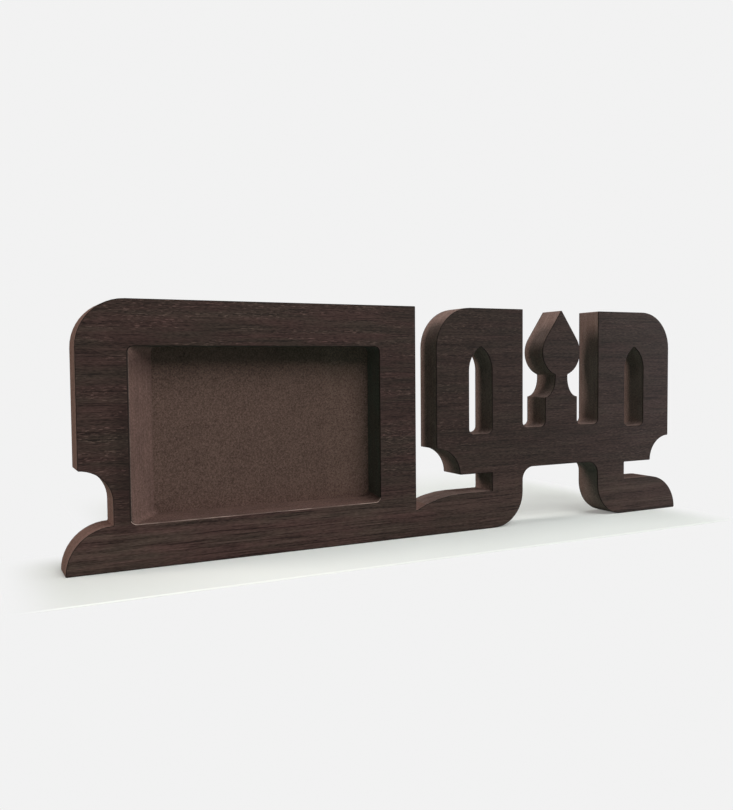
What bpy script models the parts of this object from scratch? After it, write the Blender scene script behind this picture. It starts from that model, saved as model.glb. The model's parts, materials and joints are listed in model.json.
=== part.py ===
"""A free-standing wooden picture frame with a fretwork end, ready for a 150 x 100 mm picture.

The frame is one sawn board, veneered on both faces. The left part is the picture panel, with a
deep window whose left wall slopes as a thumb ramp. The right part is an openwork screen: two
slotted blocks on legs either side of a pointed finial. The picture goes in from behind, under a
backing board that four turn buttons hold in its rebate.

Lengths are in metres. The outline is drawn with x to the right from the left foot's tip and z up
from the table. Depths run backwards, along +Y, from the front face.
"""
import math

import bmesh
import bpy

MM = 0.001

# Layers of the board, front to back
CORE_THICKNESS = 19.0 * MM
VENEER_THICKNESS = 0.7 * MM
SEAT_GAP = 0.3 * MM          # left between pieces that touch
BASE_EASE = 0.4 * MM         # the veneers stop this far above the table

# Picture panel
SIDE_INSET = 7.5 * MM        # both ends stand back this far from their foot tips
LEFT_STILE = 27.5 * MM
RIGHT_STILE = 26.5 * MM
SILL_HEIGHT = 25.7 * MM
TOP_RAIL = 26.3 * MM
SHOULDER_RADIUS = 27.0 * MM

# Window, seen from the front
WINDOW_WIDTH = 158.0 * MM
WINDOW_HEIGHT = 100.0 * MM
WINDOW_CORNER = 3.5 * MM
RAMP_RUN = 17.0 * MM         # how far the left wall slopes in between front and floor
SILL_SPLAY = 2.2 * MM        # how far the sill rises between front and floor

# Rebate behind the window, and the board that lies in it
BACKING_THICKNESS = 3.0 * MM
LIP_SIDES = 6.2 * MM         # the rebate is wider than the window's floor by this, each side
LIP_ENDS = 2.65 * MM         # and taller by this, top and bottom
REBATE_CORNER = 4.0 * MM
BOARD_PLAY = 0.7 * MM        # between the rebate's sides and top and the backing board
FINGER_NOTCH_RADIUS = 8.0 * MM

# Feet and the moulded ends
FOOT_RADIUS = 26.0 * MM      # quarter-round foot, as high as the base rail
NOTCH_HEIGHT = 13.0 * MM     # open height between the foot and what hangs over it
COVE_RADIUS = 18.5 * MM
TOE_RADIUS = 24.0 * MM       # inner corners of the two legs
TAIL_RUN = 36.0 * MM         # the base rail dips towards the panel over this length
TAIL_DIP = 8.5 * MM

# Fretwork screen
PANEL_GAP = 16.0 * MM        # between the panel and the screen
POST_WIDTH = 26.0 * MM       # uprights beside the slots, and the legs
SLOT_WIDTH = 19.0 * MM
SLOT_CORNER = 4.0 * MM
BLOCK_SILL = 27.0 * MM       # wood under a slot
BLOCK_CROWN = 26.0 * MM      # wood over a slot
SIDE_OPENING = 20.0 * MM     # between a block and the stem
STEM_WIDTH = 29.0 * MM
ARCH_RISE = 2.0 * MM         # the arch is this much higher than the blocks' undersides
ARCH_CORNER = 9.0 * MM
RAIL_HEIGHT = 28.0 * MM      # wood over the arch
OPENING_CORNER = 4.0 * MM

# Finial on the stem
FINIAL_RADIUS = 17.0 * MM
FINIAL_POINT = 13.0 * MM     # the tip stands this far over the round
NECK_WIDTH = 11.0 * MM
NECK_HEIGHT = 2.0 * MM
NECK_COVE_HEIGHT = 14.0 * MM

# Turn buttons and their screws
BUTTON_THICKNESS = 1.2 * MM
BUTTON_EYE_RADIUS = 4.6 * MM
BUTTON_TIP_RADIUS = 3.2 * MM
BUTTON_REACH = 13.0 * MM     # from the screw to the centre of the tip
BUTTON_LIFT = 1.4 * MM       # the tip is cranked up for a fingernail
BUTTON_FLAT = 6.0 * MM       # flat length between the screw and the crank
BUTTON_CRANK = 2.5 * MM      # length of the slope
BUTTON_SPREAD = 45.0 * MM    # from the window's centre line to a screw
BUTTON_OFFSET = 6.0 * MM     # from the rebate's edge to a screw
SCREW_RADIUS = 1.5 * MM
SCREW_LENGTH = 12.0 * MM
SCREW_POINT = 3.0 * MM
SCREW_HEAD_RADIUS = 3.1 * MM
SCREW_HEAD_HEIGHT = 1.8 * MM
SCREW_HEAD_EDGE = 0.7 * MM   # straight side of the head, under its dome

# Facets
ARC_STEP = math.radians(7.5)
ROUND_SIDES = 24
DOME_STEPS = 4
CUT_PAST = 1.0 * MM          # a cutter runs this far out of the face it opens

# Places that follow from the sizes above
THICKNESS = CORE_THICKNESS + 2 * (VENEER_THICKNESS + SEAT_GAP)
CORE_FRONT = VENEER_THICKNESS + SEAT_GAP
CORE_BACK = CORE_FRONT + CORE_THICKNESS
HEIGHT = SILL_HEIGHT + WINDOW_HEIGHT + TOP_RAIL
WINDOW_LEFT = SIDE_INSET + LEFT_STILE
WINDOW_RIGHT = WINDOW_LEFT + WINDOW_WIDTH
PANEL_RIGHT = WINDOW_RIGHT + RIGHT_STILE
BLOCK_WIDTH = 2 * POST_WIDTH + SLOT_WIDTH
SCREEN_HALF = STEM_WIDTH / 2 + SIDE_OPENING + BLOCK_WIDTH
SCREEN_CENTRE = PANEL_RIGHT + PANEL_GAP + SCREEN_HALF
WIDTH = SCREEN_CENTRE + SCREEN_HALF + SIDE_INSET
UNDERSIDE = FOOT_RADIUS + NOTCH_HEIGHT
ARCH_TOP = UNDERSIDE + ARCH_RISE
RAIL_TOP = ARCH_TOP + RAIL_HEIGHT
REBATE_DEPTH = BACKING_THICKNESS + 2 * SEAT_GAP
REBATE_FLOOR = THICKNESS - REBATE_DEPTH
REBATE_LEFT = WINDOW_LEFT + RAMP_RUN - LIP_SIDES
REBATE_RIGHT = WINDOW_RIGHT + LIP_SIDES
REBATE_BOTTOM = SILL_HEIGHT + SILL_SPLAY - LIP_ENDS
REBATE_TOP = SILL_HEIGHT + WINDOW_HEIGHT + LIP_ENDS
REBATE_CENTRE = (REBATE_LEFT + REBATE_RIGHT) / 2
BUTTON_SEAT = THICKNESS + SEAT_GAP
HEAD_SEAT = BUTTON_SEAT + BUTTON_THICKNESS + SEAT_GAP
DEPTH = HEAD_SEAT + SCREW_HEAD_HEIGHT
PILOT_RADIUS = SCREW_RADIUS + SEAT_GAP
PILOT_END = HEAD_SEAT - SCREW_LENGTH - SEAT_GAP


def clear_scene():
    for thing in list(bpy.data.objects):
        bpy.data.objects.remove(thing, do_unlink=True)


def finish(name, colour, roughness, metallic=0.0):
    material = bpy.data.materials.new(name)
    material.use_nodes = True
    material.diffuse_color = (*colour, 1.0)
    shader = material.node_tree.nodes["Principled BSDF"]
    shader.inputs["Base Color"].default_value = (*colour, 1.0)
    shader.inputs["Roughness"].default_value = roughness
    shader.inputs["Metallic"].default_value = metallic
    return material


def arc(centre, radii, start, end):
    """Points on a quarter or other stretch of an ellipse, angles in degrees from +x."""
    radius_x, radius_z = radii
    steps = max(2, math.ceil(math.radians(abs(end - start)) / ARC_STEP))
    points = []
    for step in range(steps + 1):
        angle = math.radians(start + (end - start) * step / steps)
        points.append((centre[0] + radius_x * math.cos(angle), centre[1] + radius_z * math.sin(angle)))
    return points


def corner(centre, radius, start, end):
    return arc(centre, (radius, radius), start, end)


def circle(centre, radius, sides=ROUND_SIDES):
    angles = [math.tau * side / sides for side in range(sides)]
    return [(centre[0] + radius * math.cos(angle), centre[1] + radius * math.sin(angle)) for angle in angles]


def rounded_rectangle(left, right, bottom, top, radius):
    points = corner((left + radius, bottom + radius), radius, 180, 270)
    points += corner((right - radius, bottom + radius), radius, 270, 360)
    points += corner((right - radius, top - radius), radius, 0, 90)
    points += corner((left + radius, top - radius), radius, 90, 180)
    return points


def finial_half():
    """Right half of the stem and its finial, from the side opening's floor up to the tip."""
    half_stem = STEM_WIDTH / 2
    half_neck = NECK_WIDTH / 2
    centre = (0.0, HEIGHT - FINIAL_POINT - FINIAL_RADIUS)
    neck_angle = math.degrees(math.acos(half_neck / FINIAL_RADIUS))
    tangent_angle = math.degrees(math.asin(FINIAL_RADIUS / (FINIAL_RADIUS + FINIAL_POINT)))
    round_start = centre[1] - FINIAL_RADIUS * math.sin(math.radians(neck_angle))
    neck_bottom = round_start - NECK_HEIGHT
    cove = (half_stem - half_neck, NECK_COVE_HEIGHT)
    points = corner((half_stem + OPENING_CORNER, RAIL_TOP + OPENING_CORNER), OPENING_CORNER, -90, -180)
    points += arc((half_stem, neck_bottom), cove, -90, -180)
    points += corner(centre, FINIAL_RADIUS, -neck_angle, tangent_angle)
    points.append((0.0, HEIGHT))
    return points


def screen_half():
    """Right half of the screen above the base rail, from the leg's outer side to the finial's tip.

    x is measured from the screen's centre line.
    """
    inner = SCREEN_HALF - BLOCK_WIDTH
    leg_outer = inner + POST_WIDTH
    shoulder = (SCREEN_HALF - SHOULDER_RADIUS, HEIGHT - SHOULDER_RADIUS)
    points = [(leg_outer, FOOT_RADIUS), (leg_outer, UNDERSIDE)]
    points += corner((SCREEN_HALF, UNDERSIDE), COVE_RADIUS, 180, 90)
    points += corner(shoulder, SHOULDER_RADIUS, 0, 90)
    points.append((inner, HEIGHT))
    points += corner((inner - OPENING_CORNER, RAIL_TOP + OPENING_CORNER), OPENING_CORNER, 0, -90)
    return points + finial_half()


def arch_half():
    """Right half of the arch between the legs, from its top down to the table."""
    inner = SCREEN_HALF - BLOCK_WIDTH
    points = corner((inner - ARCH_CORNER, ARCH_TOP - ARCH_CORNER), ARCH_CORNER, 90, 0)
    points += corner((inner + TOE_RADIUS, TOE_RADIUS), TOE_RADIUS, 180, 270)
    return points


def mirrored_pair(half, start_at_left):
    """A half path and its mirror image about the screen's centre line, in walking order."""
    right = [(SCREEN_CENTRE + x, z) for x, z in half]
    left = [(SCREEN_CENTRE - x, z) for x, z in reversed(half)]
    return left + right if start_at_left else right + left


def panel_outline():
    """Top and left side of the picture panel, from the base rail's dip round to the foot's tip."""
    tail_radius = (TAIL_RUN ** 2 + TAIL_DIP ** 2) / (2 * TAIL_DIP)
    tail_angle = math.degrees(math.asin(TAIL_RUN / tail_radius))
    shoulder = (SIDE_INSET + SHOULDER_RADIUS, HEIGHT - SHOULDER_RADIUS)
    foot_centre = (FOOT_RADIUS, 0.0)
    points = corner((PANEL_RIGHT + TAIL_RUN, FOOT_RADIUS - tail_radius), tail_radius, 90, 90 + tail_angle)
    points.append((PANEL_RIGHT, HEIGHT))
    points += corner(shoulder, SHOULDER_RADIUS, 90, 180)
    points += corner((SIDE_INSET, UNDERSIDE), COVE_RADIUS, 90, 0)
    points.append((SIDE_INSET + COVE_RADIUS, FOOT_RADIUS))
    points += corner(foot_centre, FOOT_RADIUS, 90, 180)
    return points


def board_outline():
    """The whole board, anticlockwise seen from the front, starting under the left foot."""
    points = mirrored_pair(arch_half(), start_at_left=True)
    points += corner((WIDTH - FOOT_RADIUS, 0.0), FOOT_RADIUS, 0, 90)
    points += mirrored_pair(screen_half(), start_at_left=False)
    points += panel_outline()
    return without_repeats(points)


def without_repeats(points, smallest=1e-6):
    kept = []
    for point in points:
        if not kept or math.dist(point, kept[-1]) > smallest:
            kept.append(point)
    if math.dist(kept[0], kept[-1]) <= smallest:
        kept.pop()
    return kept


def slot_outline(side):
    """Lancet slot through a block; side is -1 for the left block and 1 for the right.

    Each side of its pointed head is struck from the foot of the other, so it is as steep as it
    is wide.
    """
    left = SCREEN_CENTRE + side * (SCREEN_HALF - BLOCK_WIDTH / 2) - SLOT_WIDTH / 2
    right = left + SLOT_WIDTH
    bottom = UNDERSIDE + BLOCK_SILL
    spring = HEIGHT - BLOCK_CROWN - SLOT_WIDTH * math.sin(math.radians(60))
    points = corner((left + SLOT_CORNER, bottom + SLOT_CORNER), SLOT_CORNER, 180, 270)
    points += corner((right - SLOT_CORNER, bottom + SLOT_CORNER), SLOT_CORNER, 270, 360)
    points += corner((left, spring), SLOT_WIDTH, 0, 60)
    points += corner((right, spring), SLOT_WIDTH, 120, 180)
    return without_repeats(points)


def plate_mesh(name, loops, front, back):
    """A flat plate between two depths, bounded by its first loop and pierced by the others."""
    shape = bmesh.new()
    edges = []
    for loop in loops:
        verts = [shape.verts.new((x, front, z)) for x, z in loop]
        edges += [shape.edges.new((verts[i - 1], verts[i])) for i in range(len(verts))]
    bmesh.ops.triangle_fill(shape, use_beauty=True, use_dissolve=False, edges=edges)
    faces = bmesh.ops.extrude_face_region(shape, geom=shape.faces[:])
    moved = [item for item in faces["geom"] if isinstance(item, bmesh.types.BMVert)]
    bmesh.ops.translate(shape, verts=moved, vec=(0.0, back - front, 0.0))
    bmesh.ops.recalc_face_normals(shape, faces=shape.faces[:])
    return mesh_from(shape, name)


def loft_mesh(name, front_loop, front, back_loop, back):
    """A closed solid between two loops of as many points, one at each depth."""
    shape = bmesh.new()
    near = [shape.verts.new((x, front, z)) for x, z in front_loop]
    far = [shape.verts.new((x, back, z)) for x, z in back_loop]
    shape.faces.new(near)
    shape.faces.new(far)
    for i in range(len(near)):
        shape.faces.new((near[i - 1], near[i], far[i], far[i - 1]))
    bmesh.ops.recalc_face_normals(shape, faces=shape.faces[:])
    return mesh_from(shape, name)


def turned_mesh(name, profile):
    """A solid of revolution about its Y axis, from (radius, depth) points that start and end on it."""
    shape = bmesh.new()
    verts = [shape.verts.new((radius, depth, 0.0)) for radius, depth in profile]
    edges = [shape.edges.new(pair) for pair in zip(verts, verts[1:])]
    bmesh.ops.spin(shape, geom=verts + edges, cent=(0, 0, 0), axis=(0, 1, 0),
                   angle=math.tau, steps=ROUND_SIDES, use_duplicate=False)
    bmesh.ops.remove_doubles(shape, verts=shape.verts[:], dist=1e-6)
    bmesh.ops.recalc_face_normals(shape, faces=shape.faces[:])
    return mesh_from(shape, name)


def mesh_from(shape, name):
    mesh = bpy.data.meshes.new(name)
    shape.to_mesh(mesh)
    shape.free()
    return mesh


def add_piece(name, mesh, material, parent, location=(0.0, 0.0, 0.0), turn=0.0):
    """Put a piece on the frame; turn is its angle about the Y axis."""
    piece = bpy.data.objects.new(name, mesh)
    if material.name not in mesh.materials:
        mesh.materials.append(material)
    piece.parent = parent
    piece.location = location
    piece.rotation_euler = (0.0, turn, 0.0)
    bpy.context.collection.objects.link(piece)
    return piece


def add_cutter(name, mesh, parent, location=(0.0, 0.0, 0.0)):
    cutter = bpy.data.objects.new(name, mesh)
    cutter.parent = parent
    cutter.location = location
    cutter.hide_render = True
    cutter.display_type = "WIRE"
    bpy.context.collection.objects.link(cutter)
    return cutter


def cut(piece, cutters):
    for cutter in cutters:
        boolean = piece.modifiers.new(cutter.name, "BOOLEAN")
        boolean.operation = "DIFFERENCE"
        boolean.solver = "EXACT"
        boolean.object = cutter


def shade_round(mesh, angle=30.0):
    mesh.shade_smooth()
    mesh.set_sharp_from_angle(angle=math.radians(angle))


def window_at(depth):
    """The window's outline at a depth, between the upright right wall and the sloping left one."""
    share = depth / REBATE_FLOOR
    left = WINDOW_LEFT + RAMP_RUN * share
    bottom = SILL_HEIGHT + SILL_SPLAY * share
    return rounded_rectangle(left, WINDOW_RIGHT, bottom, SILL_HEIGHT + WINDOW_HEIGHT, WINDOW_CORNER)


def window_cutter(parent):
    front = -CUT_PAST
    back = REBATE_FLOOR + CUT_PAST
    mesh = loft_mesh("window_cut", window_at(front), front, window_at(back), back)
    return add_cutter("window_cut", mesh, parent)


def rebate_cutters(parent):
    """The rebate for the backing board, and the finger notch in its upper edge."""
    back = THICKNESS + CUT_PAST
    seat = rounded_rectangle(REBATE_LEFT, REBATE_RIGHT, REBATE_BOTTOM, REBATE_TOP, REBATE_CORNER)
    notch = circle((REBATE_CENTRE, REBATE_TOP), FINGER_NOTCH_RADIUS)
    seat_mesh = plate_mesh("rebate_cut", [seat], REBATE_FLOOR, back)
    notch_mesh = plate_mesh("finger_notch_cut", [notch], REBATE_FLOOR, back)
    return [add_cutter("rebate_cut", seat_mesh, parent), add_cutter("finger_notch_cut", notch_mesh, parent)]


def button_places():
    """Each turn button's name ending, screw centre and turn; unturned buttons point down."""
    upper = REBATE_TOP + BUTTON_OFFSET
    lower = REBATE_BOTTOM - BUTTON_OFFSET
    left = REBATE_CENTRE - BUTTON_SPREAD
    right = REBATE_CENTRE + BUTTON_SPREAD
    return [
        ("upper_left", left, upper, 0.0),
        ("upper_right", right, upper, 0.0),
        ("lower_left", left, lower, math.pi),
        ("lower_right", right, lower, math.pi),
    ]


def pilot_cutters(parent):
    """Holes for the turn buttons' screws, through the rear veneer and into the core."""
    profile = [(0.0, PILOT_END), (PILOT_RADIUS, PILOT_END), (PILOT_RADIUS, THICKNESS + CUT_PAST),
               (0.0, THICKNESS + CUT_PAST)]
    mesh = turned_mesh("pilot_cut", profile)
    return [add_cutter("pilot_cut_" + place, mesh, parent, (x, 0.0, z)) for place, x, z, _ in button_places()]


def build_board(parent):
    """The sawn core and its two veneers, with the window, rebate and pilot holes cut in them."""
    board = board_outline()
    slots = [slot_outline(-1), slot_outline(1)]
    eased = [(x, max(z, BASE_EASE)) for x, z in board]
    painted = finish("painted edge", (0.045, 0.031, 0.025), 0.50)
    veneer = finish("dark veneer", (0.043, 0.029, 0.024), 0.45)

    core_mesh = plate_mesh("core_board", [board] + slots, CORE_FRONT, CORE_BACK)
    core = add_piece("core_board", core_mesh, painted, parent)
    front_mesh = plate_mesh("front_veneer", [without_repeats(eased)] + slots, 0.0, VENEER_THICKNESS)
    front = add_piece("front_veneer", front_mesh, veneer, parent)
    rear_mesh = plate_mesh("rear_veneer", [without_repeats(eased)] + slots,
                           THICKNESS - VENEER_THICKNESS, THICKNESS)
    rear = add_piece("rear_veneer", rear_mesh, veneer, parent)

    window = window_cutter(parent)
    rebate = rebate_cutters(parent)
    pilots = pilot_cutters(parent)
    cut(front, [window])
    cut(core, [window] + rebate + pilots)
    cut(rear, rebate + pilots)


def build_backing_board(parent):
    """The hardboard back, resting on the rebate's lower edge."""
    left = REBATE_LEFT + BOARD_PLAY
    right = REBATE_RIGHT - BOARD_PLAY
    bottom = REBATE_BOTTOM + SEAT_GAP
    top = REBATE_TOP - BOARD_PLAY
    front = REBATE_FLOOR + SEAT_GAP
    outline = rounded_rectangle(left, right, bottom, top, REBATE_CORNER)
    mesh = plate_mesh("backing_board", [outline], front, front + BACKING_THICKNESS)
    hardboard = finish("brown hardboard", (0.066, 0.046, 0.038), 0.85)
    add_piece("backing_board", mesh, hardboard, parent)


def button_outline():
    """The tapered plate: a round eye and a smaller round tip below it, joined by their tangents."""
    taper = math.degrees(math.asin((BUTTON_EYE_RADIUS - BUTTON_TIP_RADIUS) / BUTTON_REACH))
    points = corner((0.0, 0.0), BUTTON_EYE_RADIUS, -taper, 180 + taper)
    points += corner((0.0, -BUTTON_REACH), BUTTON_TIP_RADIUS, 180 + taper, 360 - taper)
    return points


def button_mesh():
    """A stamped turn button with its tip cranked away from the board, its screw hole at the origin."""
    hole = circle((0.0, 0.0), PILOT_RADIUS)
    mesh = plate_mesh("turn_button", [button_outline(), hole], 0.0, BUTTON_THICKNESS)
    shape = bmesh.new()
    shape.from_mesh(mesh)
    for bend in (-BUTTON_FLAT, -BUTTON_FLAT - BUTTON_CRANK):
        geometry = shape.verts[:] + shape.edges[:] + shape.faces[:]
        bmesh.ops.bisect_plane(shape, geom=geometry, plane_co=(0.0, 0.0, bend), plane_no=(0.0, 0.0, 1.0))
    for vert in shape.verts:
        share = (-BUTTON_FLAT - vert.co.z) / BUTTON_CRANK
        vert.co.y += BUTTON_LIFT * min(1.0, max(0.0, share))
    shape.to_mesh(mesh)
    shape.free()
    return mesh


def screw_mesh():
    """A pan-head screw with the underside of its head at depth 0 and its shank towards the front."""
    dome = SCREW_HEAD_HEIGHT - SCREW_HEAD_EDGE
    profile = [(0.0, -SCREW_LENGTH), (SCREW_RADIUS, SCREW_POINT - SCREW_LENGTH), (SCREW_RADIUS, 0.0),
               (SCREW_HEAD_RADIUS, 0.0)]
    for step in range(DOME_STEPS):
        angle = math.pi / 2 * step / DOME_STEPS
        radius = SCREW_HEAD_RADIUS * math.cos(angle)
        profile.append((radius, SCREW_HEAD_EDGE + dome * math.sin(angle)))
    profile.append((0.0, SCREW_HEAD_HEIGHT))
    return turned_mesh("turn_button_screw", profile)


def build_turn_buttons(parent):
    """Four turn buttons over the backing board's edges, each free to turn about its screw."""
    plate = button_mesh()
    screw = screw_mesh()
    shade_round(plate)
    shade_round(screw)
    plated = finish("plated steel", (0.42, 0.40, 0.37), 0.35, 1.0)
    zinc = finish("zinc-plated screw", (0.50, 0.49, 0.47), 0.30, 1.0)
    for place, x, z, turn in button_places():
        add_piece("turn_button_" + place, plate, plated, parent, (x, BUTTON_SEAT, z), turn)
        add_piece("turn_button_screw_" + place, screw, zinc, parent, (x, HEAD_SEAT, z))


def main():
    clear_scene()
    origin = bpy.data.objects.new("frame_origin", None)
    origin.location = (-WIDTH / 2, -DEPTH / 2, 0.0)
    bpy.context.collection.objects.link(origin)
    build_board(origin)
    build_backing_board(origin)
    build_turn_buttons(origin)
    bpy.context.view_layer.update()


main()
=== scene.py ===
"""Dresses the packed picture frame: eased edges, veneer, paint, hardboard and plated steel."""
import json
import math

import bpy
from bpy.props import FloatProperty, FloatVectorProperty, IntProperty, PointerProperty
from bpy.types import Operator, Panel, PropertyGroup
from mathutils import Matrix, Vector

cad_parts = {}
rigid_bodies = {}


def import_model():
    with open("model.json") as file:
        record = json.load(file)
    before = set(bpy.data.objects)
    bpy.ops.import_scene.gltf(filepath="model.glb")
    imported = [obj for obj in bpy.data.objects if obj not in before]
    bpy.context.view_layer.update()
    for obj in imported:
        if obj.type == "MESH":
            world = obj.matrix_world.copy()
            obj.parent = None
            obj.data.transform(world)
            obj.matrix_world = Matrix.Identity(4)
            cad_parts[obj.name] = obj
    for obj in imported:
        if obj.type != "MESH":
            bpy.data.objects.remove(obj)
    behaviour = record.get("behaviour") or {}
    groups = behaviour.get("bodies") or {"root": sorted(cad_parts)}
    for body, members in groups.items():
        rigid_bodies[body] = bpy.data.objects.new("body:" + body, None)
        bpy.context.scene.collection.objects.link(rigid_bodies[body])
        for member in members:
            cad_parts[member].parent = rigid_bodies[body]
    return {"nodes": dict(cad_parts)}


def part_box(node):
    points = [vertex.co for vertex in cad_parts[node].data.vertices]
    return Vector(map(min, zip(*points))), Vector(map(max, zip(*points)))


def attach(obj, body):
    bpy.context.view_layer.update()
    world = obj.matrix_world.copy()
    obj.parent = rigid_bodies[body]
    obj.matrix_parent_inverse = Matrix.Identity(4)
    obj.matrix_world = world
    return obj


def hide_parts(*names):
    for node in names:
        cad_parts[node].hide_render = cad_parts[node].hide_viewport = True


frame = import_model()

bl_info = {
    "name": "Fretwork picture frame",
    "version": (1, 0, 0),
    "blender": (4, 5, 0),
    "location": "3D View > Sidebar > Picture frame",
    "description": "Models and finishes a veneered fretwork picture frame",
    "category": "Object",
}

MM = 0.001
MERGE = 0.001 * MM                  # vertices closer than this are one
FLUSH = 0.02 * MM                   # a vertex this close to a face's depth lies in that face
TINY_FACET = 0.2 * MM               # narrower facets are merged before their edge is eased
BACKGROUND = (0.887, 0.887, 0.887)

# Places of the CAD that the pieces and their finishes are fitted to
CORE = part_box("core_board")
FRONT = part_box("front_veneer")
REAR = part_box("rear_veneer")
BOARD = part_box("backing_board")
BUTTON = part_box("turn_button_upper_left")
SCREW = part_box("turn_button_screw_upper_left")
CORNERS = ("upper_left", "upper_right", "lower_left", "lower_right")


def window_edges():
    """The window's left, right, lower and upper edges, found on the front veneer."""
    side, end = 15 * MM, 5 * MM
    spots = [vert.co for vert in frame["nodes"]["front_veneer"].data.vertices]
    spots = [spot for spot in spots if BOARD[0].x - side < spot.x < BOARD[1].x + side]
    spots = [spot for spot in spots if BOARD[0].z - end < spot.z < BOARD[1].z + end]
    across = [spot.x for spot in spots]
    upwards = [spot.z for spot in spots]
    return min(across), max(across), min(upwards), max(upwards)


WINDOW_LEFT, WINDOW_RIGHT, WINDOW_BOTTOM, WINDOW_TOP = window_edges()


def length(name, description, default):
    """A length that a user may change."""
    return FloatProperty(name=name, description=description, default=default, min=0.0,
                         precision=5, subtype="DISTANCE", unit="LENGTH")


def angle(name, description, degrees):
    """An angle that a user may change."""
    return FloatProperty(name=name, description=description, default=math.radians(degrees),
                         subtype="ANGLE", unit="ROTATION")


def power(name, description, watts):
    """A lamp's power that a user may change."""
    return FloatProperty(name=name, description=description, default=watts, min=0.0, unit="POWER")


def colour(name, description, default):
    """A finish colour that a user may change, in linear values."""
    return FloatVectorProperty(name=name, description=description, default=default,
                               subtype="COLOR", min=0.0, max=1.0)


class EdgeSizes(PropertyGroup):
    """Eased edges"""

    arris: length("Arris", "Width of the sanded arris round both faces", 0.42 * MM)
    corner_ease: length("Corner ease", "Rounding of the sawn corners", 0.6 * MM)
    steps: IntProperty(name="Steps", description="Facets across an eased edge",
                       default=3, min=1, max=6)
    board_corner: length("Board corner", "Rounding of the backing board's corners", 4.0 * MM)
    board_ease: length("Board ease", "Rounding of the backing board's edges", 0.25 * MM)


class ButtonSizes(PropertyGroup):
    """Turn buttons"""

    eye: length("Eye", "Radius of the end with the screw hole", (BUTTON[1].x - BUTTON[0].x) / 2)
    tip: length("Tip", "Radius of the end that holds the board", 3.2 * MM)
    lift: length("Lift", "How far the tip is cranked up for a fingernail", 1.4 * MM)
    flat: length("Flat", "Flat length between the screw and the crank", 6.0 * MM)
    crank: length("Crank", "Length of the sloped stretch", 2.5 * MM)
    hole: length("Hole", "Radius of the screw hole", 1.8 * MM)
    ease: length("Ease", "Rounding of the stamped edges", 0.16 * MM)


class ScrewSizes(PropertyGroup):
    """Turn button screws"""

    head: length("Head", "Radius of the pan head", (SCREW[1].x - SCREW[0].x) / 2)
    crown: length("Crown", "Height of the head", 1.8 * MM)
    rim: length("Rim", "Straight side of the head, under its dome", 0.7 * MM)
    shank: length("Shank", "Radius of the shank", 1.5 * MM)
    point: length("Point", "Length of the pointed end", 3.0 * MM)
    blunt: length("Blunt end", "Radius of the point's own end", 0.15 * MM)
    cross: length("Cross", "Length of each arm of the cross recess", 3.6 * MM)
    slot: length("Slot", "Width of each arm of the cross recess", 0.75 * MM)
    recess: length("Recess", "Depth of the cross recess", 1.1 * MM)


class FinishColours(PropertyGroup):
    """Finish colours"""

    veneer: colour("Veneer, brown", "Browner fibres of the veneer", (0.0438, 0.0286, 0.0229))
    veneer_red: colour("Veneer, red", "Redder fibres of the veneer", (0.0495, 0.0268, 0.0232))
    veneer_edge: colour("Veneer edge", "Stained edge of the veneer sheets", (0.020, 0.0130, 0.0105))
    # Pale sanded wood, which is also a painted highlight along the window's sill.
    rubbed: colour("Rubbed arris", "Wood that shows where an edge is sanded", (0.40, 0.28, 0.235))
    paint: colour("Edge paint", "Matt paint on the sawn edges", (0.190, 0.117, 0.0975))
    paint_dark: colour("Dark paint", "Thinner stretches of the paint", (0.121, 0.077, 0.0655))
    # Painted shade: a greyer, greener copy of the edge paint for the openwork, whose slots lie in
    # shadow.
    screen: colour("Screen paint", "Paint on the sawn edges of the openwork", (0.201, 0.140, 0.121))
    # Painted shade: a darker, greyer copy of the edge paint for the window's shaded walls.
    recess: colour("Recess paint", "The window's right and upper walls", (0.120, 0.105, 0.088))
    hardboard: colour("Hardboard", "Middle tone of the backing board", (0.1235, 0.0745, 0.0605))
    button: colour("Turn button", "Plated steel of the turn buttons", (0.62, 0.60, 0.56))
    screw: colour("Screw", "Zinc plating of the screws", (0.70, 0.69, 0.67))


class StageSettings(PropertyGroup):
    """Lamps and camera"""

    front: power("Front softbox", "Power of the softbox in front", 20.8)
    top: power("Top softbox", "Power of the softbox overhead", 11.0)
    side: power("Side softbox", "Power of the far softbox on the left", 50.0)
    low: power("Low softbox", "Power of the small softbox on the right", 12.5)
    fill: power("Fill", "Power of the strip light on the far right", 21.0)
    camera_place: FloatVectorProperty(
        name="Camera place", description="Where the camera stands",
        default=(-0.27866, -0.47905, 0.11372), subtype="TRANSLATION", unit="LENGTH")
    yaw: angle("Yaw", "How far the camera looks to the right", 26.718)
    pitch: angle("Pitch", "How far the camera looks down", 2.759)
    roll: angle("Roll", "How far the camera leans", -0.510)
    lens: FloatProperty(name="Lens", description="Focal length on a 36 mm high sensor",
                        default=36.55, min=1.0, unit="CAMERA")


class Field:
    """A socket's value. Python maths on it adds the Math nodes that work it out."""

    def __init__(self, recipe, socket):
        self.recipe = recipe
        self.socket = socket

    def maths(self, operation, *values):
        inputs = dict(enumerate(values))
        return self.recipe.node("ShaderNodeMath", {"operation": operation}, inputs)

    def __add__(self, other):
        return self.maths("ADD", self, other)

    def __radd__(self, other):
        return self.maths("ADD", other, self)

    def __sub__(self, other):
        return self.maths("SUBTRACT", self, other)

    def __rsub__(self, other):
        return self.maths("SUBTRACT", other, self)

    def __mul__(self, other):
        return self.maths("MULTIPLY", self, other)

    def __rmul__(self, other):
        return self.maths("MULTIPLY", other, self)

    def at_least(self, low):
        return self.maths("MAXIMUM", self, low)


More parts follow.
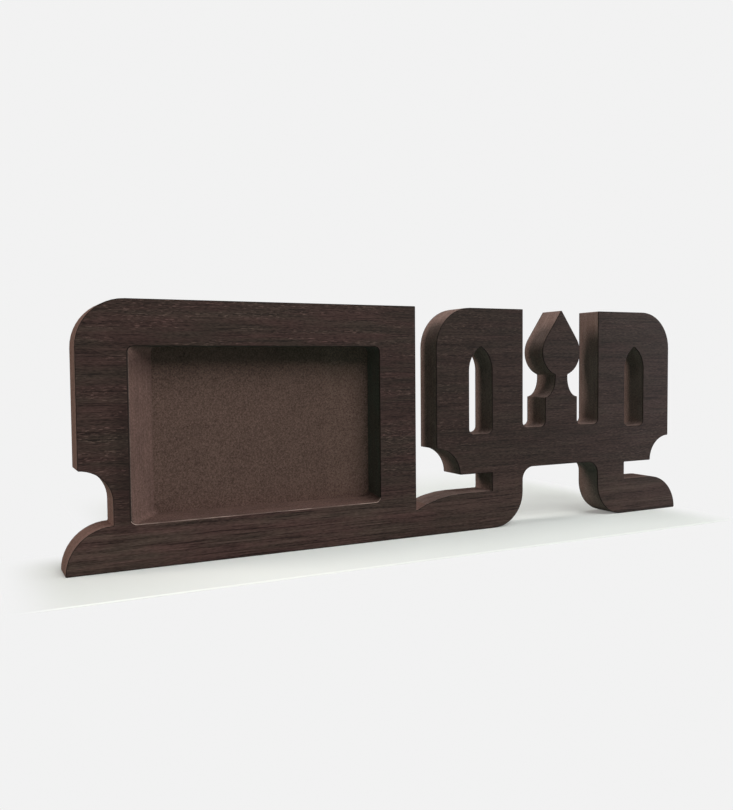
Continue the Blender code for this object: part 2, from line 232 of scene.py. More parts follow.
class Recipe:
    """A node tree, whose nodes are added from the values that they take."""

    def __init__(self, tree):
        self.tree = tree

    def feed(self, socket, value):
        """Link a field to a socket, or set the socket's own value."""
        if isinstance(value, Field):
            self.tree.links.new(value.socket, socket)
        elif socket.type == "RGBA":
            socket.default_value = (*value, 1.0)
        else:
            socket.default_value = value

    def node(self, kind, settings=None, inputs=None, output=0):
        """Add a node, set it up, feed its sockets and return one of its outputs."""
        made = self.tree.nodes.new(kind)
        for name, value in (settings or {}).items():
            setattr(made, name, value)
        for name, value in (inputs or {}).items():
            self.feed(made.inputs[name], value)
        return Field(self, made.outputs[output])

    def step(self, value, low, high, out_low=0.0, out_high=1.0, shape="SMOOTHSTEP"):
        """A soft step from one value to another as a field goes from low to high."""
        return self.node("ShaderNodeMapRange", {"interpolation_type": shape, "clamp": True},
                         {"Value": value, "From Min": low, "From Max": high,
                          "To Min": out_low, "To Max": out_high}, "Result")

    def band(self, value, start, full, fading, end):
        """1 while a field is between full and fading, and 0 before start and after end."""
        return self.step(value, start, full) * self.step(value, end, fading)

    def blend(self, share, first, second):
        """Two colours mixed by a share."""
        return self.node("ShaderNodeMix", {"data_type": "RGBA", "clamp_factor": True},
                         {0: share, 6: first, 7: second}, 2)

    def along(self, vector, axis):
        """One coordinate of a vector."""
        return self.node("ShaderNodeSeparateXYZ", None, {"Vector": vector}, axis)

    def is_ray(self, kind):
        """1 for rays of one kind, such as Camera or Diffuse, and 0 for others."""
        return self.node("ShaderNodeLightPath", output="Is " + kind + " Ray")


class Finish(Recipe):
    """One material, its shader and the places on the piece that its patterns follow."""

    def __init__(self, name, roughness, specular, metallic=0.0):
        self.material = bpy.data.materials.new(name)
        self.material.use_nodes = True
        super().__init__(self.material.node_tree)
        self.shader = self.tree.nodes["Principled BSDF"]
        self.set(Roughness=roughness, Specular_IOR_Level=specular, Metallic=metallic)
        self.place = self.node("ShaderNodeTexCoord", output="Object")

    def set(self, **inputs):
        """Feed the shader's own sockets, named with _ for a space."""
        for name, value in inputs.items():
            self.feed(self.shader.inputs[name.replace("_", " ")], value)

    def noise(self, size, detail=2.0, roughness=0.5, distortion=0.0, shift=(0.0, 0.0, 0.0)):
        """Noise whose features have a size in millimetres along each axis."""
        scale = tuple(1.0 / (extent * MM) for extent in size)
        spot = self.node("ShaderNodeMapping", {"vector_type": "POINT"},
                         {"Vector": self.place, "Location": shift, "Scale": scale}, "Vector")
        return self.node("ShaderNodeTexNoise", {"noise_dimensions": "3D"},
                         {"Vector": spot, "Scale": 1.0, "Detail": detail, "Roughness": roughness,
                          "Distortion": distortion}, "Fac")

    def scale(self, colour, amount):
        """A colour made lighter or darker by a field round 1."""
        return self.node("ShaderNodeVectorMath", {"operation": "SCALE"},
                         {0: colour, "Scale": amount}, "Vector")

    def bump(self, height, strength, depth):
        """The normal of a relief of a depth, drawn from a height field."""
        return self.node("ShaderNodeBump", None,
                         {"Height": height, "Strength": strength, "Distance": depth}, "Normal")


def veneer_grain(finish, low):
    """Level grain, round 1. low is 1 on the base rail, which is wider-grained."""
    bands = finish.noise((300, 50, 9), detail=3.0, roughness=0.6, distortion=0.2)
    growth = finish.noise((200, 50, 3.4), detail=4.0, roughness=0.62, distortion=0.08)
    streaks = finish.noise((30, 20, 1.0), detail=3.0, roughness=0.65)
    fibres = finish.noise((2.8, 10, 0.50), detail=1.0)
    soft = (bands - 0.5) * 0.7 + (growth - 0.5) * (0.5 + low * 1.3)
    soft = soft + (streaks - 0.5) * (1.7 + low * 0.6) + (fibres - 0.5) * (2.0 - low * 0.5)
    return 1.0 + soft


def veneer_pores(finish, low):
    """Long dark pores, and short pale flecks that lie in rows, as two fields from 0 to 1."""
    lines = finish.noise((28, 10, 0.80), detail=1.0, roughness=0.4, shift=(3.1, 0.0, 7.7))
    flecks = finish.noise((3.6, 10, 0.44), detail=1.0, roughness=0.4, shift=(9.0, 0.0, 4.0))
    rows = finish.noise((60, 50, 4.5), shift=(5.3, 0.0, 1.9))
    pale = finish.step(flecks, 0.61, 0.66) * finish.step(rows, 0.46, 0.58) * (1.0 - low * 0.8)
    return finish.step(lines, 0.60, 0.70), pale


def veneer_shades(finish, across, height):
    """Slow changes of tone over the board, round 1.

    The stile is darker beside the window and paler at its outer end. The board is darker right of
    the window, which is painted shade, and again over the screen's blocks. A painted contact
    shadow darkens it most in a line along the table.
    """
    left, right, bottom = WINDOW_LEFT, WINDOW_RIGHT, WINDOW_BOTTOM
    stile = finish.band(across, left - 10 * MM, left - 3 * MM, left + 1 * MM, left + 4 * MM)
    stile = stile * finish.band(height, bottom - 8 * MM, bottom, bottom + 62 * MM, bottom + 84 * MM)
    end = finish.step(across, left - 8 * MM, left - 12 * MM, 1.0, 1.12)
    # Painted shade: the board is darker right of the window.
    screen = finish.step(across, right - 4 * MM, right + 2 * MM, 1.0, 0.88)
    blocks = finish.step(across, 0.0, 10 * MM) * finish.step(height, 48 * MM, 68 * MM)
    # Painted contact shadow: darkest in a line along the table, wider towards the right.
    painted_contact_shadow = finish.step(height - across * 0.006, 0.4 * MM, 1.4 * MM, 0.50, 1.0)
    return (1.0 - stile * 0.28) * (1.0 - blocks * 0.12) * painted_contact_shadow * end * screen


def veneer_finish(colours):
    """Dark veneer: tone bands, wavy growth lines, fine fibres, pores and flecks."""
    finish = Finish("dark_veneer", 0.46, 0.09)
    across = finish.along(finish.place, "X")
    height = finish.along(finish.place, "Z")
    low = finish.step(height, WINDOW_BOTTOM + 19 * MM, WINDOW_BOTTOM - 6 * MM)
    grain = veneer_grain(finish, low)
    pore, fleck = veneer_pores(finish, low)
    fleck = fleck * finish.step(across, 0.0, 70 * MM, 1.7, 0.9)
    lift = low * finish.step(across, 90 * MM, 150 * MM, 0.53, 0.36)
    grain = grain * (1.0 - pore * (0.50 + low * 0.15)) * (1.0 + lift) + fleck
    grain = grain * veneer_shades(finish, across, height)
    hue = finish.noise((50, 50, 5.5), shift=(1.3, 0.0, 2.9))
    red = finish.step(hue, 0.34, 0.66) * finish.step(across, 0.0, 10 * MM, 1.0, 0.55)
    base = finish.blend(red, colours.veneer, colours.veneer_red)
    finish.set(Base_Color=finish.scale(base, grain.at_least(0.25)),
               Roughness=finish.step(grain, 0.7, 1.3, 0.54, 0.42),
               Normal=finish.bump(grain, 0.30, 0.08 * MM))
    return finish.material


def paint_finish(colours, name="edge_paint", lift=1.0, paint=None, top_shade=0.0):
    """Matt paint over sawn fibreboard, with a fine fuzz and faint saw lines.

    lift is its tone. The share given last is taken off as painted shadow under the window's upper
    edge, on the ramp's top.
    """
    finish = Finish(name, 0.60, 0.0)
    fuzz = finish.noise((1.1, 1.1, 1.1), detail=3.0, roughness=0.7)
    cloud = finish.noise((20, 6, 20), detail=3.0)
    saw = finish.noise((60, 1.2, 60), detail=3.0, roughness=0.6, shift=(0.5, 0.2, 0.1))
    tone = lift + (fuzz - 0.5) * 1.7 * lift + (saw - 0.5) * 0.4
    if top_shade:
        # Painted shadow of the window's upper edge on the ramp's top.
        height, top = finish.along(finish.place, "Z"), WINDOW_TOP
        painted_top_shadow = finish.band(height, top - 26 * MM, top - 9 * MM, top - 8 * MM, top - 2 * MM)
        tone = tone * (1.0 - painted_top_shadow * top_shade)
    thin = finish.step(cloud, 0.40, 0.62) * 0.35
    base = finish.blend(thin, paint or colours.paint, colours.paint_dark)
    finish.set(Base_Color=finish.scale(base, tone),
               Roughness=finish.step(cloud, 0.38, 0.62, 0.56, 0.66),
               Normal=finish.bump(fuzz * 0.5 + saw * 0.5, 0.25, 0.06 * MM))
    return finish.material


def ramp_shade_finish(colours):
    """The same paint in a darker tone on the thumb ramp and the sill, as painted shade, with more
    painted shade near the ramp's top.
    """
    return paint_finish(colours, name="ramp_paint", lift=0.71, top_shade=0.28)


def screen_shade_finish(colours):
    """A greyer, greener copy of the edge paint for the openwork's sawn edges: painted shade for its
    narrow slots.
    """
    return paint_finish(colours, name="screen_paint", paint=colours.screen)


def recess_shade_finish(colours):
    """A darker, greyer copy of the edge paint on the window's right and upper walls: painted shade
    for walls in shadow.
    """
    return paint_finish(colours, name="recess_paint", paint=colours.recess)


def edge_finish(colours):
    """The veneer's own edge, stained dark."""
    finish = Finish("stained_veneer_edge", 0.55, 0.05)
    stain = finish.noise((6, 6, 6), detail=3.0)
    finish.set(Base_Color=finish.scale(colours.veneer_edge, 0.6 + stain * 0.8))
    return finish.material


def rubbed_highlight_finish(colours):
    """The arris, sanded through its stain, so that paler wood shows in uneven stretches; the pale
    wood also serves as a painted highlight on the window's sill.
    """
    finish = Finish("rubbed_arris", 0.45, 0.15)
    wear = finish.noise((22, 10, 22), detail=4.0, roughness=0.65)
    worn_and_highlit = finish.step(wear, 0.40, 0.60)
    finish.set(Base_Color=finish.blend(worn_and_highlit, colours.paint, colours.rubbed),
               Roughness=finish.step(wear, 0.38, 0.62, 0.42, 0.52))
    return finish.material


def hardboard_finish(colours):
    """Brown hardboard: a dense fine speckle, softly mottled, with a few loose fibres and pits.

    It has painted light beside the window's right wall and painted shade at its upper left.
    """
    finish = Finish("speckled_hardboard", 0.75, 0.05)
    mottle = finish.noise((14, 14, 14))
    speckle = finish.noise((0.82, 0.82, 0.82), detail=3.0, roughness=0.75)
    fibre = finish.noise((1.6, 1.6, 1.6), detail=1.0, shift=(2.0, 5.0, 1.0))
    pits = finish.noise((1.8, 1.8, 1.8), detail=1.0, shift=(7.0, 3.0, 6.0))
    tone = 1.0 + (speckle - 0.5) * 2.8 + (mottle - 0.5) * 0.30
    tone = tone + finish.step(fibre, 0.70, 0.80) * 0.40 - finish.step(pits, 0.72, 0.80) * 0.40
    across, right = finish.along(finish.place, "X"), WINDOW_RIGHT
    height, top = finish.along(finish.place, "Z"), WINDOW_TOP
    # Painted light beside the window's right wall, and painted shade at its upper left.
    pale = finish.step(across, right - 35 * MM, right - 27 * MM) * 0.23
    pale = pale + finish.step(across, right - 14 * MM, right - 2 * MM) * 0.14
    dark = finish.step(height, top - 21 * MM, top - 9 * MM) * 0.13
    dark = dark * finish.step(across, right - 35 * MM, right - 65 * MM)
    tone = tone * (1.0 + pale - dark)
    finish.set(Base_Color=finish.scale(colours.hardboard, tone),
               Normal=finish.bump(speckle + mottle * 0.5, 0.25, 0.08 * MM))
    return finish.material


def steel_finish(name, plating, roughness, marks_size):
    """Plated steel with fine marks along the piece and softer stains."""
    finish = Finish(name, roughness, 0.5, metallic=1.0)
    marks = finish.noise(marks_size, detail=3.0, roughness=0.6)
    stain = finish.noise((4, 4, 4), detail=3.0)
    stained = [channel * 0.72 for channel in plating]
    finish.set(Base_Color=finish.blend(finish.step(stain, 0.42, 0.66) * 0.5, plating, stained),
               Roughness=finish.step(marks, 0.38, 0.62, roughness - 0.08, roughness + 0.12),
               Normal=finish.bump(marks, 0.2, 0.03 * MM))
    return finish.material


def button_finish(colours):
    """Stamped steel, with marks along the button."""
    return steel_finish("plated_steel", colours.button, 0.34, (0.4, 0.4, 6.0))


def screw_finish(colours):
    """Zinc plating, marked alike in all directions."""
    return steel_finish("zinc_screw", colours.screw, 0.28, (0.8, 0.8, 0.8))


def shelf_tone(finish, across, depth, front_edge):
    """The shelf's tone, round 1: a painted highlight along its front edge, and a little darker on
    the left.
    """
    left = finish.step(across, CORE[0].x + 107 * MM, CORE[0].x + 12 * MM)
    # Painted highlight along the shelf's front edge.
    worn_and_highlit = finish.band(depth, front_edge, front_edge + 1 * MM,
                       front_edge + 2 * MM, front_edge + 4 * MM)
    tone = finish.step(depth, front_edge, -20 * MM, 0.98, 1.0) * (1.0 - left * 0.08)
    return tone + worn_and_highlit * (0.15 + left * 0.13)


def near_frame(finish, across, depth, front_edge):
    """1 on the shelf round the frame, falling to 0 where the background takes over.

    In front it ends at the shelf's edge. Behind it reaches far, but less so at the left end.
    """
    left, right = CORE[0].x, CORE[1].x
    near = finish.band(depth, front_edge - 1 * MM, front_edge, 120 * MM, 300 * MM)
    near = near * finish.band(across, left - 33 * MM, left + 2 * MM,
                              right - 32 * MM, right + 5 * MM)
    behind_left = finish.step(depth, 10 * MM, 50 * MM)
    behind_left = behind_left * finish.step(across, left + 77 * MM, left + 27 * MM)
    return near * (1.0 - behind_left)


def table_finish():
    """A pale shelf with a painted highlight along its front edge, which fades into the background
    round the frame.
    """
    seen_shelf, bounced_shelf = (0.80, 0.829, 0.789), (0.18, 0.28, 0.25)
    front_edge = FRONT[0].y - 59.7 * MM
    finish = Finish("pale_table", 0.60, 0.0)
    across, depth = finish.along(finish.place, "X"), finish.along(finish.place, "Y")
    tone = shelf_tone(finish, across, depth, front_edge)
    finish.set(Base_Color=finish.blend(finish.is_ray("Diffuse"), finish.scale(seen_shelf, tone),
                                       bounced_shelf))
    shelf = Field(finish, finish.shader.outputs["BSDF"])
    backdrop = finish.node("ShaderNodeEmission", None, {"Color": BACKGROUND, "Strength": 1.0})
    seen = finish.is_ray("Camera") + finish.is_ray("Glossy") + finish.is_ray("Transmission")
    faded = (1.0 - near_frame(finish, across, depth, front_edge) * 0.85) * seen
    mixed = finish.node("ShaderNodeMixShader", None, {0: faded, 1: shelf, 2: backdrop})
    finish.feed(finish.tree.nodes["Material Output"].inputs["Surface"], mixed)
    return finish.material


MAKERS = {
    "veneer": veneer_finish,
    "edge": edge_finish,
    "rubbed": rubbed_highlight_finish,
    "paint": paint_finish,
    "ramp": ramp_shade_finish,
    "recess": recess_shade_finish,
    "screen": screen_shade_finish,
    "hardboard": hardboard_finish,
    "button": button_finish,
    "screw": screw_finish,
}
MADE = {}


def give_finishes(context, piece, *keys):
    """Add finishes to a piece's slots, in order, each made once and then shared."""
    for key in keys:
        if key not in MADE:
            MADE[key] = MAKERS[key](context.scene.frame_colours)
        piece.data.materials.append(MADE[key])


def make_active(context, piece):
    """Leave edit mode, and select and activate one piece alone."""
    if context.object and context.object.mode != "OBJECT":
        bpy.ops.object.mode_set(mode="OBJECT")
    for thing in context.view_layer.objects:
        thing.select_set(False)
    piece.select_set(True)
    context.view_layer.objects.active = piece


def name_piece(context, name):
    """Name the primitive that was just added, and its mesh."""
    piece = context.active_object
    piece.name = name
    piece.data.name = name
    return piece


def settle(piece, body, slot, *nodes):
    """Give the piece its place on a body and hide the nodes it stands for; its finish slot is not
    used.
    """
    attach(piece, body)
    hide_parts(*nodes)


def bake_place(context, piece):
    """Move a piece's place, turn and size into its mesh."""
    make_active(context, piece)
    bpy.ops.object.transform_apply(location=True, rotation=True, scale=True)


def edit(context, piece, kind="EDGE"):
    """Open a piece for editing with nothing selected."""
    make_active(context, piece)
    bpy.ops.object.mode_set(mode="EDIT")
    bpy.ops.mesh.select_mode(type=kind)
    bpy.ops.mesh.select_all(action="DESELECT")


def pick(context, piece, kind, wanted):
    """Select those vertices, edges or polygons of the open piece for which wanted is true."""
    bpy.ops.object.mode_set(mode="OBJECT")
    kinds = ("vertices", "edges", "polygons")
    chosen = [bool(wanted(item)) for item in getattr(piece.data, kind)]
    for group in kinds:
        items = getattr(piece.data, group)
        items.foreach_set("select", chosen if group == kind else [False] * len(items))
    context.tool_settings.mesh_select_mode = [group == kind for group in kinds]
    bpy.ops.object.mode_set(mode="EDIT")


def cad_copy(context, node, name):
    """An own copy of a sawn sheet, its triangles merged into flat faces."""
    piece = bpy.data.objects.new(name, frame["nodes"][node].data.copy())
    piece.data.name = name
    piece.data.materials.clear()
    context.collection.objects.link(piece)
    edit(context, piece)
    bpy.ops.mesh.select_all(action="SELECT")
    bpy.ops.mesh.remove_doubles(threshold=MERGE)
    bpy.ops.mesh.dissolve_limited(angle_limit=math.radians(0.5))
    bpy.ops.object.mode_set(mode="OBJECT")
    return piece


def runs_through(piece, edge):
    """True for an edge that runs straight through the board, from front to back."""
    start, end = (piece.data.vertices[index].co for index in edge.vertices)
    return abs((end - start).normalized().y) > 0.9


def lies_at(piece, edge, depth):
    """True for an edge of the face at one depth."""
    return all(abs(piece.data.vertices[index].co.y - depth) < FLUSH for index in edge.vertices)


def ease_sharp_edges(context, piece, wanted, offset, steps, material=-1):
    """Round those of a piece's sharp edges for which wanted is true."""
    edit(context, piece)
    bpy.ops.mesh.edges_select_sharp(sharpness=math.radians(25))
    pick(context, piece, "edges", lambda edge: edge.select and wanted(edge))
    bpy.ops.mesh.bevel(offset=offset, offset_type="OFFSET", segments=steps, affect="EDGES",
                       clamp_overlap=True, material=material)
    bpy.ops.object.mode_set(mode="OBJECT")


def ease_sawn_corners(context, piece, sizes):
    """Round the corners that the saw left, front to back, the same on each layer."""
    ease_sharp_edges(context, piece, lambda edge: runs_through(piece, edge),
                     sizes.corner_ease, sizes.steps)


def ease_rim(context, piece, depth, sizes, material):
    """Sand the arris round one face, given by its depth, once its tiniest facets are merged."""
    edit(context, piece)
    bpy.ops.mesh.select_all(action="SELECT")
    bpy.ops.mesh.remove_doubles(threshold=TINY_FACET)
    ease_sharp_edges(context, piece, lambda edge: lies_at(piece, edge, depth),
                     sizes.arris, sizes.steps, material)


def shade(context, piece, degrees=32):
    """Smooth the round stretches and eased edges, and keep the broad faces flat."""
    make_active(context, piece)
    bpy.ops.object.shade_smooth_by_angle(angle=math.radians(degrees))
    bpy.ops.object.modifier_add(type="WEIGHTED_NORMAL")
    weighted = piece.modifiers[-1]
    weighted.keep_sharp = True
    weighted.weight = 100
    bpy.ops.object.modifier_apply(modifier=weighted.name)


def own_copy(context, pattern, name):
    """A copy of a pattern piece with its own mesh."""
    piece = bpy.data.objects.new(name, pattern.data.copy())
    piece.data.name = name
    context.collection.objects.link(piece)
    return piece


def cut_away(context, piece, cutter):
    """Take the cutter's shape out of the piece, and then remove the cutter."""
    make_active(context, piece)
    bpy.ops.object.modifier_add(type="BOOLEAN")
    boolean = piece.modifiers[-1]
    boolean.operation = "DIFFERENCE"
    boolean.solver = "EXACT"
    boolean.object = cutter
    bpy.ops.object.modifier_apply(modifier=boolean.name)
    bpy.data.objects.remove(cutter)


def add_disc(radius, gauge, height):
    """A disc of sheet metal that faces front, with its front at depth 0, centred at a height."""
    bpy.ops.mesh.primitive_cylinder_add(vertices=64, radius=radius, depth=gauge,
                                        rotation=(math.pi / 2, 0.0, 0.0),
                                        location=(0.0, gauge / 2, height))


def drill(context, piece, radius):
    """Bore a hole through the piece along the Y axis at the origin."""
    bpy.ops.mesh.primitive_cylinder_add(vertices=48, radius=radius, depth=20 * MM,
                                        rotation=(math.pi / 2, 0.0, 0.0))
    cutter = name_piece(context, "drill")
    bake_place(context, cutter)
    cut_away(context, piece, cutter)


def pivot_of(place):
    """The screw's centre of one turn button."""
    low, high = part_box("turn_button_screw_" + place)
    return (low + high) / 2


class FRAME_OT_core(Operator):
    """Saw the fibreboard core and paint its edges"""
    bl_idname = "frame.core"
    bl_label = "Core board"

    def execute(self, context):
        core = cad_copy(context, "core_board", "sawn_core")
        self.glue(context, core, CORE[0].y, FRONT[1].y)
        self.glue(context, core, CORE[1].y, REAR[0].y)
        ease_sawn_corners(context, core, context.scene.frame_edges)
        give_finishes(context, core, "paint", "ramp", "recess", "screen")
        for face in core.data.polygons:
            face.material_index = self.finish_of(face)
        shade(context, core)
        settle(core, "frame", "painted_edge", "core_board")
        return {"FINISHED"}

    def glue(self, context, core, face, sheet):
        """Bring one face of the core up to the veneer sheet that is glued on it."""
        edit(context, core, kind="VERT")
        pick(context, core, "vertices", lambda vert: abs(vert.co.y - face) < FLUSH)
        bpy.ops.transform.translate(value=(0.0, sheet - face, 0.0))
        bpy.ops.object.mode_set(mode="OBJECT")

    def finish_of(self, face):
        """The slot of a face, by where on the board it lies and how it faces."""
        panel_slot, ramp_shade_slot, recess_shade_slot, screen_shade_slot = range(4)
        spot, facing = face.center, face.normal
        # The openwork takes the greyer paint, which is painted shade for its slots.
        if spot.x > (CORE[0].x + CORE[1].x) / 2:
            return screen_shade_slot
        level = WINDOW_BOTTOM - MM < spot.z < WINDOW_TOP + MM
        within = WINDOW_LEFT - MM < spot.x < WINDOW_RIGHT + MM
        if not (level and within and spot.y < BOARD[0].y and abs(facing.y) < 0.9):
            return panel_slot
        # The ramp and sill take the darker paint with painted shade, the window's other walls the
        # painted shade of the recess paint.
        return ramp_shade_slot if facing.x > 0.2 or facing.z > 0.2 else recess_shade_slot


class FRAME_OT_veneers(Operator):
    """Lay the veneer on both faces, with its arris sanded"""
    bl_idname = "frame.veneers"
    bl_label = "Veneers"

    def execute(self, context):
        self.lay(context, "front_veneer", "face_veneer", FRONT[0].y)
        self.lay(context, "rear_veneer", "back_veneer", REAR[1].y)
        return {"FINISHED"}

    def lay(self, context, node, name, outer):
        """One sheet: grain on its faces, a stained edge, and an arris on the face that shows."""
        sizes = context.scene.frame_edges
        face_slot, edge_slot, rubbed_highlight_slot = 0, 1, 2
        sheet = cad_copy(context, node, name)
        give_finishes(context, sheet, "veneer", "edge", "rubbed")
        ease_sawn_corners(context, sheet, sizes)
        for face in sheet.data.polygons:
            face.material_index = face_slot if abs(face.normal.y) > 0.9 else edge_slot
        ease_rim(context, sheet, outer, sizes, rubbed_highlight_slot)
        for face in sheet.data.polygons:
            if face.material_index == rubbed_highlight_slot and not self.is_sill(face):
                face.material_index = edge_slot
        shade(context, sheet)
        settle(sheet, "frame", "veneer", node)

    def is_sill(self, face):
        """True for the arris along the bottom of the window, where the stain is sanded off and a
        highlight is painted in its colour.
        """
        spot = face.center
        inside = WINDOW_LEFT < spot.x < WINDOW_RIGHT + 1.5 * MM
        return face.normal.z > 0.2 and inside and abs(spot.z - WINDOW_BOTTOM) < 5 * MM


class FRAME_OT_backing(Operator):
    """Cut the hardboard back with its rounded corners"""
    bl_idname = "frame.backing"
    bl_label = "Backing board"

    def execute(self, context):
        sizes = context.scene.frame_edges
        low, high = BOARD
        bpy.ops.mesh.primitive_cube_add(size=1.0, location=(low + high) / 2)
        board = name_piece(context, "hardboard_back")
        board.scale = high - low
        bake_place(context, board)
        edit(context, board)
        pick(context, board, "edges", lambda edge: runs_through(board, edge))
        bpy.ops.mesh.bevel(offset=sizes.board_corner, offset_type="OFFSET", segments=10,
                           affect="EDGES")
        bpy.ops.mesh.select_all(action="DESELECT")
        bpy.ops.mesh.edges_select_sharp(sharpness=math.radians(50))
        bpy.ops.mesh.bevel(offset=sizes.board_ease, offset_type="OFFSET", segments=2,
                           affect="EDGES")
        bpy.ops.object.mode_set(mode="OBJECT")
        give_finishes(context, board, "hardboard")
        shade(context, board)
        settle(board, "frame", "hardboard", "backing_board")
        return {"FINISHED"}


class FRAME_OT_turn_buttons(Operator):
    """Stamp the turn buttons and hang each on its screw"""
    bl_idname = "frame.turn_buttons"
    bl_label = "Turn buttons"

    def execute(self, context):
        pattern = self.stamp(context, context.scene.frame_buttons)
        for place in CORNERS:
            pivot = pivot_of(place)
            button = own_copy(context, pattern, "stamped_button_" + place)
            button.location = (pivot.x, BUTTON[0].y, pivot.z)
            if "lower" in place:
                button.rotation_euler = (0.0, math.pi, 0.0)
            bake_place(context, button)
            give_finishes(context, button, "button")
            shade(context, button, degrees=40)
            settle(button, "button_" + place, "button_metal", "turn_button_" + place)
        bpy.data.objects.remove(pattern)
        return {"FINISHED"}

    def stamp(self, context, sizes):
        """One button, its screw hole at the origin, its tip downwards, its flat face at depth 0."""
        gauge = BUTTON[1].y - BUTTON[0].y - sizes.lift
        reach = BUTTON[1].z - BUTTON[0].z - sizes.eye - sizes.tip
        crank_end = -sizes.flat - sizes.crank
        add_disc(sizes.eye, gauge, 0.0)
        button = name_piece(context, "button_pattern")
        bake_place(context, button)
        edit(context, button)
        add_disc(sizes.tip, gauge, -reach)
        bpy.ops.mesh.select_all(action="SELECT")
        bpy.ops.mesh.convex_hull()
        bpy.ops.mesh.select_all(action="SELECT")
        bpy.ops.mesh.dissolve_limited(angle_limit=math.radians(1.0))
        for bend in (-sizes.flat, crank_end):
            bpy.ops.mesh.select_all(action="SELECT")
            bpy.ops.mesh.bisect(plane_co=(0.0, 0.0, bend), plane_no=(0.0, 0.0, 1.0))
        pick(context, button, "vertices", lambda vert: vert.co.z < crank_end + MERGE)
        bpy.ops.transform.translate(value=(0.0, sizes.lift, 0.0))
        bpy.ops.object.mode_set(mode="OBJECT")
        drill(context, button, sizes.hole)
        edit(context, button)
        bpy.ops.mesh.edges_select_sharp(sharpness=math.radians(60))
        bpy.ops.mesh.bevel(offset=sizes.ease, offset_type="OFFSET", segments=2, affect="EDGES")
        bpy.ops.object.mode_set(mode="OBJECT")
        return button


class FRAME_OT_screws(Operator):
    """Turn the pan-head screws and cut their cross recesses"""
    bl_idname = "frame.screws"
    bl_label = "Turn button screws"

    def execute(self, context):
        first_turn, next_turn = 17, 31
        pattern = self.turn(context, context.scene.frame_screws)
        for count, place in enumerate(CORNERS):
            pivot = pivot_of(place)
            screw = own_copy(context, pattern, "pan_head_screw_" + place)
            screw.rotation_euler = (0.0, math.radians(first_turn + next_turn * count), 0.0)
            screw.location = (pivot.x, SCREW[1].y, pivot.z)
            bake_place(context, screw)
            give_finishes(context, screw, "screw")
            shade(context, screw, degrees=40)
            settle(screw, "frame", "screw_metal", "turn_button_screw_" + place)
        bpy.data.objects.remove(pattern)
        return {"FINISHED"}

    def turn(self, context, sizes):
        """One screw along the Y axis, with the crown of its head at the origin."""
        depth = SCREW[0].y - SCREW[1].y
        radius = sizes.blunt
        bpy.ops.mesh.primitive_circle_add(vertices=48, radius=radius, fill_type="NGON",
                                          rotation=(math.pi / 2, 0.0, 0.0),
                                          location=(0.0, depth, 0.0))
        screw = name_piece(context, "screw_pattern")
        bake_place(context, screw)
        edit(context, screw, kind="FACE")
        bpy.ops.mesh.select_all(action="SELECT")
        for next_depth, next_radius in self.profile(sizes, depth):
            bpy.ops.mesh.extrude_region_move(
                TRANSFORM_OT_translate={"value": (0.0, next_depth - depth, 0.0)})
            scale = next_radius / radius
            bpy.ops.transform.resize(value=(scale, 1.0, scale),
                                     center_override=(0.0, next_depth, 0.0))
            depth, radius = next_depth, next_radius
        bpy.ops.mesh.select_all(action="SELECT")
        bpy.ops.mesh.normals_make_consistent(inside=False)
        bpy.ops.object.mode_set(mode="OBJECT")
        for arm in ((sizes.cross, sizes.slot), (sizes.slot, sizes.cross)):
            self.cut_recess(context, screw, arm, sizes.recess)
        return screw

    def profile(self, sizes, end):
        """Depth and radius of each ring, from the point to the middle of the domed head."""
        dome_steps, pole = 6, 0.12 * MM
        under = -sizes.crown
        rim = under + sizes.rim
        rings = [(end + sizes.point, sizes.shank), (under, sizes.shank)]
        rings += [(under, sizes.head), (rim, sizes.head)]
        for step in range(1, dome_steps):
            rise = math.pi / 2 * step / dome_steps
            rings.append((rim * (1.0 - math.sin(rise)), sizes.head * math.cos(rise)))
        rings.append((0.0, pole))
        return rings

    def cut_recess(self, context, screw, arm, deep):
        """Cut one arm of the cross, narrowing inwards."""
        proud, taper = 0.2 * MM, 0.55
        bpy.ops.mesh.primitive_cube_add(size=1.0, location=(0.0, (proud - deep) / 2, 0.0))
        cutter = name_piece(context, "recess_cutter")
        cutter.scale = (arm[0], proud + deep, arm[1])
        bake_place(context, cutter)
        edit(context, cutter, kind="VERT")
        pick(context, cutter, "vertices", lambda vert: vert.co.y < -deep / 2)
        bpy.ops.transform.resize(value=(taper, 1.0, taper), center_override=(0.0, -deep, 0.0))
        bpy.ops.object.mode_set(mode="OBJECT")
        cut_away(context, screw, cutter)


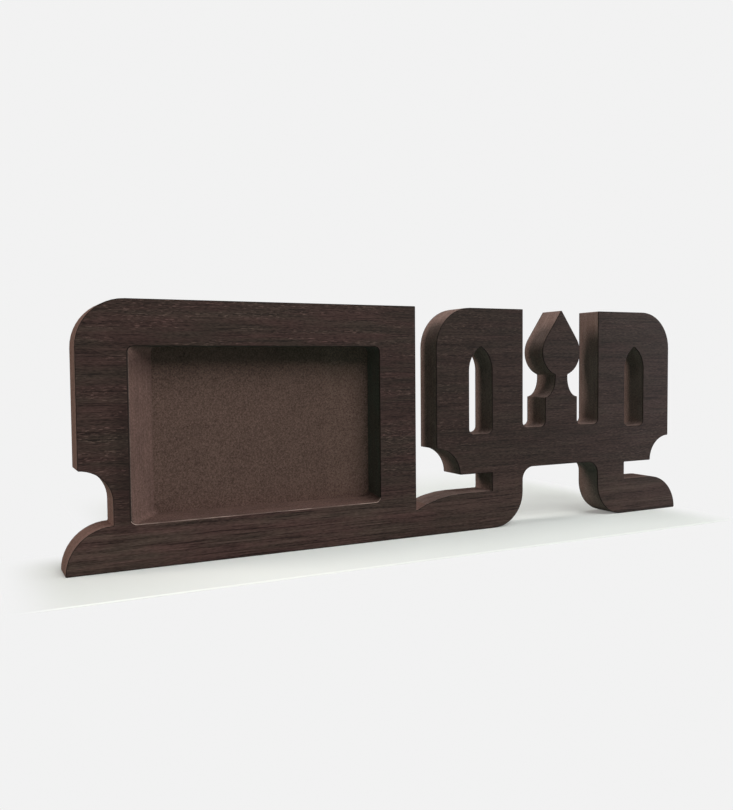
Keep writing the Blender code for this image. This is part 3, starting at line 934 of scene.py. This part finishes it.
class FRAME_OT_stage(Operator):
    """Set the table, the lamps, the surroundings and the camera"""
    bl_idname = "frame.stage"
    bl_label = "Stage"

    def execute(self, context):
        settings = context.scene.frame_stage
        bpy.ops.mesh.primitive_plane_add(size=12.0, location=(0.0, 0.0, 0.0))
        table = name_piece(context, "pale_floor")
        table.data.materials.append(table_finish())
        self.surroundings(context)
        for lamp in self.lamps(settings):
            self.add_lamp(context, *lamp)
        self.camera(context, settings)
        context.scene.view_settings.view_transform = "Standard"
        return {"FINISHED"}

    def surroundings(self, context):
        """Pale surroundings, seen and reflected at full strength, whose own glow is dim."""
        left_glow, right_glow = (0.024, 0.066, 0.060), (0.044, 0.038, 0.042)
        world = bpy.data.worlds.new("pale_surroundings")
        world.use_nodes = True
        context.scene.world = world
        sky = Recipe(world.node_tree)
        towards = sky.along(sky.node("ShaderNodeTexCoord", output="Generated"), "X")
        glow = sky.blend(sky.step(towards, -0.6, 0.6, shape="LINEAR"), left_glow, right_glow)
        seen = sky.blend(sky.is_ray("Diffuse"), BACKGROUND, glow)
        sky.feed(world.node_tree.nodes["Background"].inputs["Color"], seen)

    def lamps(self, settings):
        """Each lamp's name, place, width and height, power and tint."""
        white, warm, rosy = (1.0, 1.0, 1.0), (1.0, 0.87, 0.83), (1.0, 0.91, 0.98)
        return (
            ("front_softbox", (0.30, -1.20, 1.38), (1.20, 1.20), settings.front, white),
            ("top_softbox", (0.30, 0.10, 1.70), (0.90, 0.90), settings.top, white),
            ("side_softbox", (-2.70, 0.63, 1.28), (1.00, 1.00), settings.side, warm),
            ("low_softbox", (2.10, -1.20, 0.80), (0.40, 0.40), settings.low, white),
            ("strip_light", (2.60, -0.48, 0.10), (0.90, 0.20), settings.fill, rosy),
        )

    def add_lamp(self, context, name, place, size, watts, tint):
        """A rectangular softbox that faces the middle of the frame."""
        middle = Vector((-0.03, 0.0, 0.08))
        bpy.ops.object.light_add(type="AREA", location=place)
        lamp = context.active_object
        lamp.name = name
        lamp.rotation_euler = (middle - Vector(place)).to_track_quat("-Z", "Y").to_euler()
        lamp.data.shape = "RECTANGLE"
        lamp.data.size, lamp.data.size_y = size
        lamp.data.energy = watts
        lamp.data.color = tint

    def camera(self, context, settings):
        """The photograph's camera, turned by its yaw, its pitch and then its roll."""
        turn = Matrix.Rotation(-settings.yaw, 3, "Z")
        turn = turn @ Matrix.Rotation(math.pi / 2 - settings.pitch, 3, "X")
        turn = turn @ Matrix.Rotation(settings.roll, 3, "Z")
        bpy.ops.object.camera_add(location=settings.camera_place)
        camera = context.active_object
        camera.name = "photo_camera"
        camera.rotation_euler = turn.to_euler()
        camera.data.sensor_fit = "VERTICAL"
        camera.data.sensor_height = 36.0
        camera.data.lens = settings.lens
        camera.data.clip_start = 0.01
        context.scene.camera = camera


SETTINGS = {
    "frame_edges": EdgeSizes,
    "frame_buttons": ButtonSizes,
    "frame_screws": ScrewSizes,
    "frame_colours": FinishColours,
    "frame_stage": StageSettings,
}
STEPS = (FRAME_OT_core, FRAME_OT_veneers, FRAME_OT_backing, FRAME_OT_turn_buttons,
         FRAME_OT_screws, FRAME_OT_stage)


class VIEW3D_PT_picture_frame(Panel):
    """Lists what a user may change, and the steps that make the frame"""
    bl_idname = "VIEW3D_PT_picture_frame"
    bl_label = "Picture frame"
    bl_space_type = "VIEW_3D"
    bl_region_type = "UI"
    bl_category = "Picture frame"

    def draw(self, context):
        """Show every setting of every group, then a button for each step."""
        for name, group in SETTINGS.items():
            box = self.layout.box()
            box.label(text=group.__doc__)
            for setting in group.__annotations__:
                box.prop(getattr(context.scene, name), setting)
        for step in STEPS:
            self.layout.operator(step.bl_idname)


CLASSES = (*SETTINGS.values(), *STEPS, VIEW3D_PT_picture_frame)


def register():
    """Register the classes and put each group of settings on the scene."""
    for item in CLASSES:
        bpy.utils.register_class(item)
    for name, group in SETTINGS.items():
        setattr(bpy.types.Scene, name, PointerProperty(type=group))


def unregister():
    """Take the settings off the scene and unregister the classes, in reverse."""
    for name in SETTINGS:
        delattr(bpy.types.Scene, name)
    for item in reversed(CLASSES):
        bpy.utils.unregister_class(item)


def main():
    """Dress every piece and set the stage."""
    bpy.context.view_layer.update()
    register()
    bpy.ops.frame.core()
    bpy.ops.frame.veneers()
    bpy.ops.frame.backing()
    bpy.ops.frame.turn_buttons()
    bpy.ops.frame.screws()
    bpy.ops.frame.stage()


if __name__ == "__main__":
    main()
